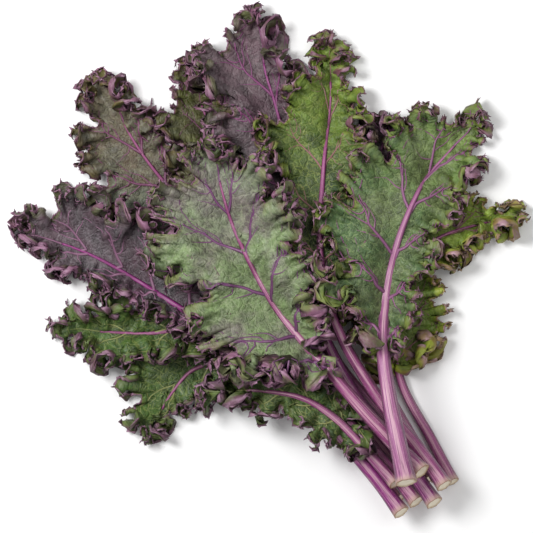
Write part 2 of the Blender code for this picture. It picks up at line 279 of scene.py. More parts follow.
def plain_points(name):
    """The points of a leaf of the plain model."""
    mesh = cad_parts[name].data
    points = np.empty(len(mesh.vertices) * 3, np.float32)
    mesh.vertices.foreach_get("co", points)
    return points.reshape(-1, 3)


class Heights:
    """How high a leaf of the plain model lies: its rib, and each side halfway out and at the margin."""

    SAME_PLACE = 0.00005  # how much further than the nearest point another may be to count as at that place

    def __init__(self, leaf, route):
        self.points = plain_points(leaf.name)
        stalk = np.linspace(0, leaf.blade_from, STALK_STATIONS, endpoint=False)
        along = 1 - (1 - np.linspace(0, 1, BLADE_STATIONS)) ** STATIONS_CROWD
        self.share = np.concatenate([stalk, leaf.share_at(along)])
        s = np.clip((self.share - leaf.blade_from) / (1 - leaf.blade_from), 0, 1)
        in_blade = s > 0
        self.s = s[in_blade]
        radius = stalk_radius(leaf, route.length, self.share)
        middle = route.places(self.share)
        left = route.directions(self.share)[1]
        offset = RIB_OFFSET if leaf.rib_up else -RIB_OFFSET
        rise = np.maximum(RIB_HEIGHT * radius * (1 + offset * in_blade), BLADE_THICKNESS / 2 + RIB_LEAST)
        self.rib = self.tops(middle + left * (CROWN_ASIDE * radius)[:, None]) - rise
        phase = np.arange(len(s)) * 2 * math.pi / WAVE_STATIONS
        self.sides = []
        for side, given in leaf.sides():
            reach = np.interp(s, REACH_AT, given)
            reach *= 1 - LOBE_DEPTH * (1 - s) * (0.5 + 0.5 * np.cos(2 * math.pi * leaf.lobes * s))
            reach = np.maximum(reach * in_blade, radius + WING)
            outward = route.outward(self.share, side, forward_angle(s) * in_blade)
            ruffle = RUFFLE * np.sin(phase + (side < 0) * math.pi / 2) * in_blade
            margin = self.tops(middle + outward * reach[:, None]) - ruffle
            halfway = self.tops(middle + outward * (0.5 * (reach + radius))[:, None])
            halfway -= BLADE_THICKNESS / 2 + INNER_RUFFLE * ruffle
            self.sides.append([evened(line[in_blade], 2) for line in (halfway, margin)])

    def tops(self, places):
        """The height of the plain leaf's top at points of its mesh that are seen from above."""
        found = []
        for place in places:
            away = np.hypot(self.points[:, 0] - place[0], self.points[:, 1] - place[1])
            found.append(self.points[away < away.min() + self.SAME_PLACE, 2].max())
        return np.array(found)


MARGIN_SAMPLES = 16000
FAN_SHARE = 0.10  # how far past its end a side runs on to fan round the tip, as a share of the side
TIP_REACH = 1.15  # how far the blade reaches straight ahead at the tip, beside its sides there
REACH_SMOOTHED = 300  # samples to each side
UNCUT = 0.03  # how far along the margin from its ends the notches take to reach their full depth
LOBE_NARROW = 4.0  # how narrow the notch between two lobes is beside the lobe
LOBE_PROUD = 0.15  # how much of a notch's depth is added to the lobes beside it
LOBE_PLACE_VARIES = 0.10  # how far a lobe may be out of its even place, in lobes
LOBE_DEPTH_VARIES = 0.3
TIP_SHALLOWER = 0.30  # how much shallower the lobes are at the tip
SMALL_PROUD = 0.2  # how much of a small notch's depth is added to what is beside it
FRILL_DEEPEST = 0.25  # of the reach
CALMED = 0.8  # how much shallower the small notches are at the bottom of a larger one
FRILL_CALM = 0.75  # how calm the bottom of a frill's notch is, beside a lobe's

# The columns of a margin's table
BASE, OUTWARD = slice(0, 2), slice(2, 4)
REACH, ALONG, SHARE, RIB, HALFWAY, EDGE = range(4, 10)


@dataclass
class Cut:
    """One order of notches within the lobes: the frills, or the smaller lobules."""

    span: float  # from one notch to the next, in metres along the margin so far
    depth: float
    narrow: float  # how narrow the notch is beside what is left
    band: float  # how far into the blade the cut is felt
    uneven: float  # how much the spacing and the depth vary


def notch(x, narrow):
    """1 at each whole x and 0 between: a round-bottomed notch, narrower where narrow is high."""
    return eased((0.5 + 0.5 * np.cos(2 * math.pi * x)) ** narrow)


class Margin:
    """The flat outline of a blade, from its base up the left side, round the tip and down the right."""

    def __init__(self, leaf, shape, rng):
        self.route = Route(leaf.route)
        self.heights = Heights(leaf, self.route)
        tip = 0.5 * (leaf.left[-1] + leaf.right[-1]) * TIP_REACH
        middle = MARGIN_SAMPLES // 2
        u = np.linspace(0, 1 + FAN_SHARE, middle)
        s = np.minimum(u, 1)
        fan = np.clip((u - 1) / FAN_SHARE, 0, 1)
        angle = forward_angle(s) * (1 - fan) + math.pi / 2 * fan
        share = leaf.share_at(s)
        base = self.route.places(share)
        rib = np.interp(share, self.heights.share, self.heights.rib)
        sides = []
        for (side, given), lines in zip(leaf.sides(), self.heights.sides):
            reach = smoothed(np.interp(s, REACH_AT, given), REACH_SMOOTHED) * (1 - fan) + tip * fan
            outward = self.route.outward(share, side, angle)
            halfway, edge = (np.interp(s, self.heights.s, line) for line in lines)
            sides.append(np.column_stack([base, outward, reach * shape.reach, u, share, rib, halfway, edge]))
        self.table = np.vstack([sides[0], sides[1][::-1]])
        self.cuts = []
        self.cut(leaf, shape, rng)
        # Half of the columns go to each side, so that both sides share the points of the midrib.
        walked = walked_along(self.edge)
        self.walked = walked[-1]
        self.place = np.concatenate([
            0.5 * walked[:middle] / walked[middle - 1],
            0.5 + 0.5 * (walked[middle:] - walked[middle]) / (walked[-1] - walked[middle])])

    def edge_at(self, reach):
        return self.table[:, BASE] + self.table[:, OUTWARD] * reach[:, None]

    def cut(self, leaf, shape, rng):
        """Cuts the margin into lobes, each lobe into frills, and those into lobules."""
        reach = self.table[:, REACH]
        u = np.minimum(self.table[:, ALONG], 1)
        back = np.where(np.arange(len(u)) < len(u) // 2, 1, -1)
        arc = walked_along(self.edge_at(reach))
        ends = np.clip(arc / UNCUT, 0, 1) * np.clip((arc[-1] - arc) / UNCUT, 0, 1)
        out_of_place = LOBE_PLACE_VARIES * wander(arc, 0.05, rng)
        lobes = notch(back * (u * leaf.lobes + 0.5) + out_of_place, LOBE_NARROW)
        deeper = 1 + LOBE_DEPTH_VARIES * wander(arc, 0.04, rng)
        depth = shape.lobe_depth * reach * deeper * (1 - TIP_SHALLOWER * u) * ends
        self.cuts.append((reach, depth * (lobes - LOBE_PROUD)))
        left = reach - self.cuts[0][1]
        frill = Cut(shape.frill_span, shape.frill_depth, narrow=3.2, band=0.024, uneven=0.25)
        frills, left = self.cut_again(frill, left, FRILL_DEEPEST * reach, lobes, ends, rng)
        self.edge = self.edge_at(left)
        self.wave = 1 - 2 * lobes
        self.frill_wave = 1 - 2 * frills
        self.calm = np.maximum(lobes, FRILL_CALM * frills)
        lobule = Cut(shape.lobule_span, shape.lobule_depth, narrow=2.2, band=0.009, uneven=0.30)
        self.cut_again(lobule, left, math.inf, self.calm, ends, rng)

    def cut_again(self, cut, left, deepest, calm, ends, rng):
        """Cuts one more order of notches, and returns where they are and what they leave of the reach."""
        arc = walked_along(self.edge_at(left))
        x = arc / cut.span + cut.uneven * wander(arc, cut.span * 1.7, rng)
        deep = cut.depth * (1 + cut.uneven * wander(arc, cut.span * 2.3, rng)) * ends
        notches = notch(x, cut.narrow)
        deep = np.minimum(deep, deepest) * (1 - CALMED * calm) * (notches - SMALL_PROUD)
        self.cuts.append((np.full(len(arc), cut.band), deep))
        return notches, left - deep


# ---------------------------------------------------------------------------------------------------------
# The blade

# Each row's distance from the margin as a share of the reach, and how often its columns have doubled
ROWS = tuple((from_margin / 60.0, doublings) for from_margin, doublings in (
    (60.0, 0), (56.0, 0), (52.0, 0), (47.5, 0), (43.0, 0),
    (38.5, 0), (34.0, 0), (29.5, 0), (25.5, 0), (21.5, 0),
    (18.0, 1), (15.0, 1), (12.5, 1), (10.2, 1),
    (8.2, 2), (6.5, 2), (5.0, 2), (3.7, 2),
    (2.7, 3), (1.8, 3), (1.0, 3), (0.5, 4), (0.0, 4)))
BASE_COLUMN = 0.0035  # the margin that one column of the inmost rows spans
BATCH = 2000  # points measured at once
EDGE_SPOTS = 1000  # about how many points of the margin distances are taken from
CUT_FADES = 1.5  # the power by which a cut is felt less inwards of the margin


def nearest(points, spots):
    """How far each point is from the nearest of the spots."""
    spots = spots.astype(np.float32)
    away = np.empty(len(points))
    for first in range(0, len(points), BATCH):
        part = points[first:first + BATCH].astype(np.float32)
        away[first:first + BATCH] = np.sqrt(((part[:, None] - spots[None]) ** 2).sum(axis=2).min(axis=1))
    return away


class Sheet:
    """A blade as rows of points. Row 0 is the midrib, which both sides share."""

    def __init__(self, margin, columns, rows, most_doublings):
        self.t = np.array([1 - share for share, _ in rows])
        self.counts = [columns * 2 ** min(doublings, most_doublings) for _, doublings in rows]
        sizes = [self.counts[0] // 2 + 1] + [count + 1 for count in self.counts[1:]]
        self.starts = [0, *(int(start) for start in np.cumsum(sizes))]
        self.size = self.starts[-1]
        self.lay_flat(margin)

    def index(self, row, column):
        if row == 0:
            column = np.minimum(column, self.counts[0] - column)
        return self.starts[row] + column

    def part(self, row):
        return slice(self.starts[row], self.starts[row + 1])

    def lay_flat(self, margin):
        """Finds each point's flat place, how high the plain leaf lies there, and what the margin tells it."""
        self.m = np.empty(self.size)
        self.row_t = np.empty(self.size)
        for row, count in enumerate(self.counts):
            part = self.part(row)
            self.m[part] = np.arange(part.stop - part.start) / count
            self.row_t[part] = self.t[row]
        read = np.column_stack([self.across(margin, column) for column in margin.table.T])
        base = read[:, BASE]
        outward = unit(read[:, OUTWARD])
        reach = read[:, REACH]
        t = self.row_t
        away = reach * t
        plain = base + outward * away[:, None]
        for band, depth in margin.cuts:
            # Each cut is felt over a band inwards of the margin as the cuts before it have left it.
            band = self.across(margin, band)
            depth = self.across(margin, depth)
            away = away - depth * np.clip(1 - (reach - away) / band, 0, 1) ** CUT_FADES
            reach = reach - depth
        self.flat = base + outward * away[:, None]
        height = (read[:, RIB] * (1 - t) * (1 - 2 * t) + 4 * read[:, HALFWAY] * t * (1 - t)
                  + read[:, EDGE] * t * (2 * t - 1))
        self.rest = np.column_stack([self.flat, height])
        self.share = read[:, SHARE]
        self.wave = self.across(margin, margin.wave)
        self.frill_wave = self.across(margin, margin.frill_wave)
        self.calm = self.across(margin, margin.calm)
        self.row_along = np.zeros((self.size, 2))
        for row in range(1, len(self.counts)):
            self.row_along[self.part(row)] = unit(np.gradient(plain[self.part(row)], axis=0))
        edge = self.flat[self.starts[-2]:]
        self.from_margin = nearest(self.flat, edge[:: max(1, len(edge) // EDGE_SPOTS)])

    def across(self, margin, values):
        """Values known along the margin, read for the columns of all the points."""
        return np.interp(self.m, margin.place, values)

    def pairs(self):
        """The pairs of points that hold the sheet in shape, and the pairs two apart that resist creases."""
        near, apart = [], []
        for row, count in enumerate(self.counts):
            every = np.arange(count + 1)
            c = every[:-1]
            if row:
                near.append((self.index(row, c), self.index(row, c + 1)))
                apart.append((self.index(row, c[:-1]), self.index(row, c[:-1] + 2)))
            if row + 1 < len(self.counts):
                factor = self.counts[row + 1] // count
                ends = ((every, every), (c, c + 1), (c + 1, c))
                if factor == 2:
                    ends = ((every, 2 * every), (c, 2 * c + 1), (c + 1, 2 * c + 1))
                near += [(self.index(row, a), self.index(row + 1, b)) for a, b in ends]
            if row + 2 < len(self.counts):
                factor = self.counts[row + 2] // count
                apart.append((self.index(row, every), self.index(row + 2, factor * every)))
        return [np.stack([np.concatenate([pair[k] for pair in pairs]) for k in (0, 1)], axis=1)
                for pairs in (near, apart)]

    def triangles(self):
        found = []
        for row in range(len(self.counts) - 1):
            count = self.counts[row]
            c = np.arange(count)
            a, b = self.index(row, c), self.index(row, c + 1)
            if self.counts[row + 1] == count:
                d, e = self.index(row + 1, c), self.index(row + 1, c + 1)
                corners = ((a, b, e), (a, e, d))
            else:
                d, e, f = (self.index(row + 1, 2 * c + k) for k in range(3))
                corners = ((a, e, d), (a, b, e), (b, f, e))
            found += [np.stack(three, axis=1) for three in corners]
        return np.concatenate(found)

    def read(self, points, t, m):
        """The points of this sheet at rows t and columns m, in between its own."""
        row = np.clip(np.searchsorted(self.t, t, side="right") - 1, 0, len(self.t) - 2)
        lower = np.empty((len(t), 3))
        upper = np.empty((len(t), 3))
        for k, count in enumerate(self.counts):
            line = points[self.index(k, np.arange(count + 1))]
            at = np.linspace(0, 1, count + 1)
            for chosen, target in ((row == k, lower), (row + 1 == k, upper)):
                for axis in range(3):
                    target[chosen, axis] = np.interp(m[chosen], at, line[:, axis])
        u = ((t - self.t[row]) / (self.t[row + 1] - self.t[row]))[:, None]
        return lower * (1 - u) + upper * u


CELL = 0.001
PILE_HALF = np.array((0.26, 0.28))  # how far the grid of heights reaches from the middle
SPLITS = (1, 2, 4, 8, 16, 32)  # into how many steps a triangle's sides are split, by their length in cells
CLEARANCE = 0.0008  # kept between leaves
CEILING = CAD_BOX[1][2] + 0.0012  # above which nothing goes
PAST_BOX = 0.0075  # how far a frill may reach past the plain model's sides
WALLS = (np.array(CAD_BOX[0][:2]) - PAST_BOX, np.array(CAD_BOX[1][:2]) + PAST_BOX)


class Pile:
    """What lies below and above a leaf, as heights on a grid seen from above."""

    def __init__(self):
        self.shape = tuple((2 * PILE_HALF / CELL).astype(int))
        self.top = np.zeros(self.shape)

    def widened(self, cells):
        """The pile's top with every height carried that many cells to each side."""
        top = self.top
        for axis in (0, 1):
            wide = top
            for shift in range(1, cells + 1):
                wide = np.maximum(wide, np.maximum(np.roll(top, shift, axis), np.roll(top, -shift, axis)))
            top = wide
        return top

    def cells(self, points):
        at = np.floor((points[:, :2] + PILE_HALF) / CELL).astype(int)
        return np.clip(at[:, 0], 0, self.shape[0] - 1), np.clip(at[:, 1], 0, self.shape[1] - 1)

    def mark(self, heights, choose, points, triangles):
        """Puts triangles into a grid of heights, at points close enough together to touch every cell."""
        corners = points[triangles]
        size = np.linalg.norm(corners - np.roll(corners, 1, axis=1), axis=2).max(axis=1)
        for steps in SPLITS:
            part = corners[(size <= steps * CELL) & (size > (steps * CELL / 2 if steps > 1 else -1))]
            a, b = np.meshgrid(np.arange(steps + 1), np.arange(steps + 1))
            keep = a + b <= steps
            u, v = a[keep] / steps, b[keep] / steps
            shares = np.stack([1 - u - v, u, v])[:, None, :, None]
            spots = (part[:, 0, None] * shares[0] + part[:, 1, None] * shares[1]
                     + part[:, 2, None] * shares[2]).reshape(-1, 3)
            choose.at(heights, self.cells(spots), spots[:, 2])

    def add(self, points, triangles):
        self.mark(self.top, np.maximum, points, triangles)

    def ceiling(self, names):
        """The underside of the plain leaves that are still to come, or the most height there is."""
        lowest = np.full(self.shape, CEILING)
        for name in names:
            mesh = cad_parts[name].data
            mesh.calc_loop_triangles()
            triangles = np.array([t.vertices for t in mesh.loop_triangles])
            self.mark(lowest, np.minimum, plain_points(name).astype(float), triangles)
        return lowest


MOMENTUM = 0.8  # how much of its last move a point goes on with
STEP = 1.6  # how far past the mean of their pulls the points move
LOW_MARGIN = 0.009  # how broad the outmost part is that may sink in closer among the leaves below


def let_go(sheet, points, growth, hold, limits, rounds, stiffness):
    """Lets the sheet find its shape: every pair goes to its grown length, and the sheet resists creases."""
    near, apart = sheet.pairs()
    one, two = np.vstack([near, apart]).T
    along = sheet.flat[two] - sheet.flat[one]
    ahead = unit(sheet.row_along[one] + sheet.row_along[two])
    lengthwise = (along * ahead).sum(axis=1)
    across = along[:, 0] * ahead[:, 1] - along[:, 1] * ahead[:, 0]
    grown = 0.5 * (growth[one] + growth[two])
    rest = np.maximum(np.hypot(across, lengthwise * grown), 1e-6)
    give = np.where(np.arange(len(one)) < len(near), 1.0, stiffness)
    ends = np.concatenate([one, two])
    order = np.argsort(ends, kind="stable")
    starts = np.searchsorted(ends[order], np.arange(sheet.size))
    degree = np.maximum(np.bincount(ends, np.concatenate([give, give]), sheet.size), 1e-9)
    share = (0.5 * give)[:, None]
    step = (STEP / degree)[:, None]
    lowest, lowest_inside, highest, pile = limits
    inside = sheet.from_margin > LOW_MARGIN
    before = points.copy()
    for _ in range(rounds):
        now = points + MOMENTUM * (points - before)
        before = points
        apart_by = now[two] - now[one]
        length = np.sqrt((apart_by**2).sum(axis=1))
        pull = apart_by * (share * (1 - rest / np.maximum(length, 1e-7))[:, None])
        both = np.concatenate([pull, -pull])[order]
        now += np.add.reduceat(both, starts, axis=0) * step
        now += (sheet.rest - now) * hold
        x, y = pile.cells(now)
        low = np.where(inside, lowest_inside[x, y], lowest[x, y])
        now[:, 2] = np.clip(now[:, 2], low, np.maximum(highest[x, y], low))
        now[:, :2] = np.clip(now[:, :2], WALLS[0], WALLS[1])
        points = now
    return points


@dataclass
class Blade:
    """A blade as it has grown: its sheet, where the sheet's points have gone, and its flat margin."""

    sheet: Sheet
    points: np.ndarray
    margin: Margin


@dataclass
class Stage:
    """One round of growth. Each has columns twice as fine as the one before it."""

    doublings: int
    rows: tuple
    rounds: int
    stiffness: float
    coarse: float  # the share of the broad growth that is let in
    fine: float  # the share of the growth at the very margin
    ripple: float  # the length of the ripples that it starts from


STAGES = (
    Stage(0, ROWS[::2], 200, 0.20, 0.20, 0.0, 0.0100),
    Stage(1, ROWS, 160, 0.12, 0.55, 0.3, 0.0055),
    Stage(2, ROWS, 160, 0.06, 0.85, 0.7, 0.0032),
    Stage(3, ROWS, 160, 0.02, 1.00, 1.0, 0.0030),
    Stage(4, ROWS, 130, 0.01, 1.00, 1.0, 0.0024),
)
STILL = 0.85  # how much less the margin grows at the bottom of a notch
FIRST_WAVES = (0.6, 0.6, 0.5)  # how the lobes, the frills and chance share in the first bend
HELD = 0.0008  # how firmly the frills are held to their flat place in each round
HELD_INSIDE = 0.08  # how much more firmly the middle of the blade is
HELD_FROM, HELD_OVER = 0.008, 0.022  # how far from the margin that begins, and over how much it rises
HELD_UPRIGHT = 0.35  # how firmly height is held beside place
FIRST_BEND = 0.012  # how far in from the margin the sheet starts out bent
RIPPLE_HEIGHT = 0.6  # of the ripples of a later stage, beside their length
RIPPLE_BEND = 0.0045


def grow_blade(leaf, shape, pile, later, rng):
    """The blade of a leaf, grown coarsely first and then ever finer, so that small ruffles ride on large."""
    margin = Margin(leaf, shape, rng)
    columns = 2 * int(round(margin.walked / BASE_COLUMN / 2))
    limits = (pile.widened(1) + CLEARANCE, pile.widened(4) + CLEARANCE, pile.ceiling(later) - CLEARANCE, pile)
    previous = None
    for stage in STAGES:
        sheet = Sheet(margin, columns, stage.rows, stage.doublings)
        away = sheet.from_margin
        lively = 1 - STILL * sheet.calm
        coarse = shape.growth * np.exp(-away / shape.growth_depth) * stage.coarse
        fine = shape.frill_growth * np.exp(-away / shape.frill_growth_depth) * stage.fine
        growth = (1 + coarse * lively) * (1 + fine * lively)
        inner = np.clip((away - HELD_FROM) / HELD_OVER, 0, 1) ** 1.5
        hold = (HELD + HELD_INSIDE * inner)[:, None] * np.array((1.0, 1.0, HELD_UPRIGHT))
        hold[sheet.row_t < 0.02] = 1.0  # the midrib stays
        arc = sheet.m * margin.walked
        if previous is None:
            points = sheet.rest.copy()
            waves = (sheet.wave, sheet.frill_wave, wander(arc, 0.02, rng))
            wave = sum(share * part for share, part in zip(FIRST_WAVES, waves))
            points[:, 2] += shape.curl * wave * np.exp(-away / FIRST_BEND)
        else:
            points = previous.read(points, sheet.row_t, sheet.m)
            wave = wander(arc, stage.ripple, rng)
            points[:, 2] += RIPPLE_HEIGHT * stage.ripple * wave * np.exp(-away / RIPPLE_BEND)
        points = let_go(sheet, points, growth, hold, limits, stage.rounds, stage.stiffness)
        previous = sheet
    add_nubs(sheet, points, shape.nub, rng)
    return Blade(sheet, points, margin)


NUB = (-0.6, 1.0)  # one nub of the margin, column by column
NUB_SIZES = (0.55, 1.25)
NUB_CALM = 0.9  # how much smaller they are at the bottom of a notch
NUB_TILT = 0.35


def add_nubs(sheet, points, depth, rng):
    """Draws the outmost rows out into nubs, each as far as the blade runs on."""
    last = len(sheet.counts) - 1
    count = sheet.counts[last]
    columns = np.arange(count + 1)
    edge = sheet.index(last, columns)
    outer = points[edge]
    ahead = unit(outer - points[sheet.index(last - 2, columns // 2)])
    aside = unit(np.cross(ahead, np.gradient(outer, axis=0)))
    size, tilt = (rng.uniform(low, high, count // len(NUB) + 1)[columns // len(NUB)]
                  for low, high in (NUB_SIZES, (-1, 1)))
    size = size * (1 - NUB_CALM * sheet.calm[edge])
    shape = np.array(NUB)[columns % len(NUB)] * size * depth
    points[edge] += ahead * shape[:, None]
    # Each nub also tilts to one side of the blade or the other.
    points[edge] += aside * (NUB_TILT * tilt * np.abs(shape))[:, None]
    points[sheet.index(last - 1, columns)] += ahead * (0.5 * shape)[:, None]


# ---------------------------------------------------------------------------------------------------------
# Meshes


def select_only(*objects):
    bpy.ops.object.select_all(action="DESELECT")
    for piece in objects:
        piece.select_set(True)
    bpy.context.view_layer.objects.active = objects[0]


def mesh_object(name, points, faces, uv):
    mesh = bpy.data.meshes.new(name)
    mesh.from_pydata(points.tolist(), [], [list(face) for face in faces])
    mesh.update()
    mesh.shade_smooth()
    at = np.empty(len(mesh.loops), np.int32)
    mesh.loops.foreach_get("vertex_index", at)
    mesh.uv_layers.new(name="along").data.foreach_set("uv", np.asarray(uv, np.float32)[at].ravel())
    piece = bpy.data.objects.new(name, mesh)
    bpy.context.scene.collection.objects.link(piece)
    return piece


def set_attribute(mesh, name, values):
    layer = mesh.attributes.new(name, "FLOAT", "POINT")
    layer.data.foreach_set("value", np.asarray(values, np.float32))


VEIN_DENT = 0.0055  # how far from a vein the blade begins to swell
SWELL_FROM, SWELL_OVER = 0.003, 0.008  # how far from the margin it does, and over how much
SWELL_DOWN = -0.75  # of the bulge, where the underside faces up
LOWEST = 0.0006


def swell(leaf, blade, from_vein, bulge):
    """Bulges the blade between its veins, towards its upper side, and keeps it off the floor."""
    between = 1 - np.exp(-(from_vein / VEIN_DENT) ** 2)
    inner = np.clip((blade.sheet.from_margin - SWELL_FROM) / SWELL_OVER, 0, 1)
    lift = SWELL_DOWN * bulge if leaf.rib_up else bulge
    blade.points[:, 2] = np.maximum(blade.points[:, 2] + lift * between * inner, LOWEST)


def blade_piece(leaf, blade, from_vein, shades, thickness):
    sheet = blade.sheet
    piece = mesh_object(leaf.name + "_blade", blade.points, sheet.triangles(), sheet.flat * 10)
    set_attribute(piece.data, "from_margin", sheet.from_margin * 1000)
    set_attribute(piece.data, "from_vein", from_vein * 1000)
    set_attribute(piece.data, "towards_tip", (sheet.share - leaf.blade_from) / (1 - leaf.blade_from))
    for shade in shades:
        piece.data.materials.append(shade)
    select_only(piece)
    solid = piece.modifiers.new("thickness", "SOLIDIFY")
    solid.thickness = thickness
    solid.offset = 0
    solid.material_offset = 1
    solid.material_offset_rim = 0
    solid.use_rim = True
    bpy.ops.object.modifier_apply(modifier=solid.name)
    return piece


CUT_SLANT = 0.8  # how far back the upper side of a cut end lies, in radii
CUT_REACH = 0.020  # how far along the stalk that slant is felt
CUT_RAGGED = 0.05  # how uneven its rim is, in radii
CUT_RINGS = (  # the rings of a cut end: share of the radius, metres sunk, and place in the UV map
    (0.96, -0.0003, -0.1), (0.82, -0.0002, -0.3), (0.66, 0.0003, -0.6), (0.35, 0.0006, -1.0))
ABOVE_FLOOR = 0.0001


def tube(name, path, radius, sides, material, profile=np.ones_like, squash=1.0, from_cut=0.0, cut=False):
    """A closed tube along a path. Its UV map has the turn round it and the decimetres along it, and below
    zero on a cut end how far in from its rim."""
    ahead = unit(np.gradient(path, axis=0))
    side = unit(np.cross(ahead, (0, 0, 1.0)))
    up = np.cross(side, ahead)
    turn = np.linspace(0, 2 * math.pi, sides, endpoint=False)
    ring = side[:, None] * np.cos(turn)[None, :, None] + up[:, None] * np.sin(turn)[None, :, None] * squash
    points = path[:, None] + ring * radius[:, None, None] * profile(turn)[None, :, None]
    walked = walked_along(path)
    if cut:
        # The knife went through at a slant, so that the cut end looks up a little.
        fade = np.clip(1 - walked / CUT_REACH, 0, 1)[:, None]
        back = fade * (0.5 + 0.5 * np.sin(turn)) * radius[0] * CUT_SLANT
        points += back[:, :, None] * ahead[0]
        points[0] += CUT_RAGGED * radius[0] * (np.sin(7 * turn) * np.cos(3 * turn + 1))[:, None] * ahead[0]
    points[:, :, 2] = np.maximum(points[:, :, 2], ABOVE_FLOOR)
    round_it = np.abs(turn / math.pi - 1)
    uv = np.stack(np.broadcast_arrays(round_it[None, :], from_cut + walked[:, None] * 10), axis=2)
    points, uv = points.reshape(-1, 3), uv.reshape(-1, 2)
    last = len(points) - sides
    edges = [(j, (j + 1) % sides) for j in range(sides)]
    faces = [(i + j, i + sides + j, i + sides + k, i + k) for i in range(0, last, sides) for j, k in edges]
    faces.append(tuple(reversed(range(last, last + sides))))
    inmost = 0
    if cut:
        rim = points[:sides]
        middle = rim.mean(axis=0)
        for share, sunk, depth in CUT_RINGS:
            outer, inmost = inmost, len(points)
            points = np.vstack([points, middle + (rim - middle) * share + ahead[0] * sunk])
            uv = np.vstack([uv, np.column_stack([uv[:sides, 0], np.full(sides, depth)])])
            faces += [(outer + j, outer + k, inmost + k, inmost + j) for j, k in edges]
    faces.append(tuple(range(inmost, inmost + sides)))
    piece = mesh_object(name, points, faces, uv)
    piece.data.materials.append(material)
    return piece


def joined(name, pieces):
    select_only(*pieces)
    bpy.ops.object.join()
    piece = bpy.context.view_layer.objects.active
    piece.name = name
    piece.data.name = name
    return piece


MIDRIB_TAPER = 0.75  # how thick the midrib still is at its end, beside the plain one
RIB_PROUD = 0.0003  # how far its middle lies above the blade at the least
RIB_SAMPLES = 90
VEIN_WANDER = 0.12  # how far a side vein may be off the middle of its lobe, in lobes
VEIN_BEHIND = 0.05  # how far before that it starts, as a share of the blade
VEIN_AHEAD = 0.03  # how far past that it ends
VEIN_OUT = 0.93  # how far out it runs
VEIN_BOW = 0.8  # the power by which it bows
VEIN_RADIUS, VEIN_MORE = 0.0005, 0.0014  # its least radius, and what the first one has more
VEIN_END = 0.00035  # its radius at its end
VEIN_THINNER = 0.55  # how much less of that the others have towards the tip
BRANCH_RADIUS, BRANCH_MORE = 0.00025, 0.0007  # the same for a branch
BRANCH_END = 0.00022
BRANCH_ROOTS = (0.20, 0.33, 0.45, 0.56, 0.66, 0.76)  # where the branches leave a side vein
BRANCH_UNEVEN = 0.04
BRANCH_RUN = 0.34  # how much further out a branch goes
BRANCH_OUT = 0.95  # how far out it goes at the most
BRANCH_ASIDE, ASIDE_BY_CHANCE = 0.014, 0.012  # how far it goes along the margin, and how much by chance
BRANCH_FARTHER = 1.6  # times both
VEIN_SAMPLES = 80  # points of a main vein from which distances are taken


@dataclass
class Vein:
    t: np.ndarray  # the rows and columns of the sheet through which it runs
    m: np.ndarray
    thick: float  # radius at its root
    thin: float  # radius at its end
    main: bool  # False for the branch of a side vein

    def on(self, sheet, points):
        return sheet.read(points, self.t, np.clip(self.m, 0, 1))


def vein_plan(leaf, margin, rng):
    """The veins that go on from the midrib: its last stretch, the side veins, and their branches."""
    middle = len(margin.place) // 2
    t = np.linspace(0.0, 0.9, 24)
    veins = [Vein(t, 0.5 + 0.004 * np.sin(5 * t), TIP_RADIUS * MIDRIB_TAPER * 1.1, 0.0003, True)]
    for part in (slice(0, middle), slice(middle, None)):
        u, at = margin.table[part, ALONG], margin.place[part]
        order = np.argsort(u)
        u, at = u[order], at[order]
        for k in range(leaf.lobes):
            s = (k + 0.5 + VEIN_WANDER * rng.uniform(-1, 1)) / leaf.lobes
            root = np.interp(max(s - VEIN_BEHIND, 0.01), u, at)
            end = np.interp(s + VEIN_AHEAD, u, at)
            t = np.linspace(0.0, VEIN_OUT, 28)
            m = root + (end - root) * t**VEIN_BOW
            size = 1.0 - VEIN_THINNER * k / leaf.lobes
            veins.append(Vein(t, m, VEIN_MORE * size + VEIN_RADIUS, VEIN_END, True))
            for n, from_t in enumerate(BRANCH_ROOTS):
                from_t += BRANCH_UNEVEN * rng.uniform(-1, 1)
                to_t = min(from_t + BRANCH_RUN, BRANCH_OUT)
                branch = np.linspace(from_t, to_t, 12)
                ward = 1 if (n + k) % 2 else -1
                offset = ward * (BRANCH_ASIDE + ASIDE_BY_CHANCE * rng.random()) / margin.walked
                away = offset * ((branch - from_t) / (to_t - from_t)) ** VEIN_BOW * BRANCH_FARTHER
                start = np.interp(from_t, t, m)
                m_branch = start + (np.interp(branch, t, m) - start) + away
                veins.append(Vein(branch, m_branch, BRANCH_MORE * size + BRANCH_RADIUS, BRANCH_END, False))
    return veins


def distance_to_veins(sheet, veins):
    """Each point's flat distance to the nearest main vein or to the midrib."""
    flat = np.column_stack([sheet.flat, np.zeros(sheet.size)])
    spots = [sheet.flat[sheet.part(0)]]
    for vein in veins:
        if vein.main:
            line = vein.on(sheet, flat)
            fine = np.linspace(0, len(line) - 1, VEIN_SAMPLES)
            spots.append(read_along(fine, np.arange(len(line)), line))
    return nearest(sheet.flat, np.vstack(spots))


def rib_path(leaf, blade):
    """The middle of the stalk and midrib in space, and its radius, from the cut end to the midrib's end."""
    margin, sheet = blade.margin, blade.sheet
    share = np.linspace(0, 1, RIB_SAMPLES)
    height = np.interp(share, margin.heights.share, margin.heights.rib)
    # Along the blade it rises with the blade where that has been lifted over the leaves below.
    along = sheet.share[sheet.part(0)]
    order = np.argsort(along)
    lifted = np.interp(share, along[order], blade.points[sheet.part(0), 2][order])
    on_blade = share > leaf.blade_from + 0.02
    height = np.where(on_blade, np.maximum(height, lifted), height)
    height = evened(height, 4)
    height = np.where(on_blade, np.maximum(height, lifted + RIB_PROUD), height)
    thinned = np.interp(share, (0.5, 1.0), (1.0, MIDRIB_TAPER))
    radius = stalk_radius(leaf, margin.route.length, share) * thinned
    return np.column_stack([margin.route.places(share), evened(height)]), radius


def ribbed(turn):
    """A stalk's cross-section, with a few lengthwise ridges."""
    return 1 + 0.035 * np.cos(5 * turn + 0.6) + 0.02 * np.cos(9 * turn)


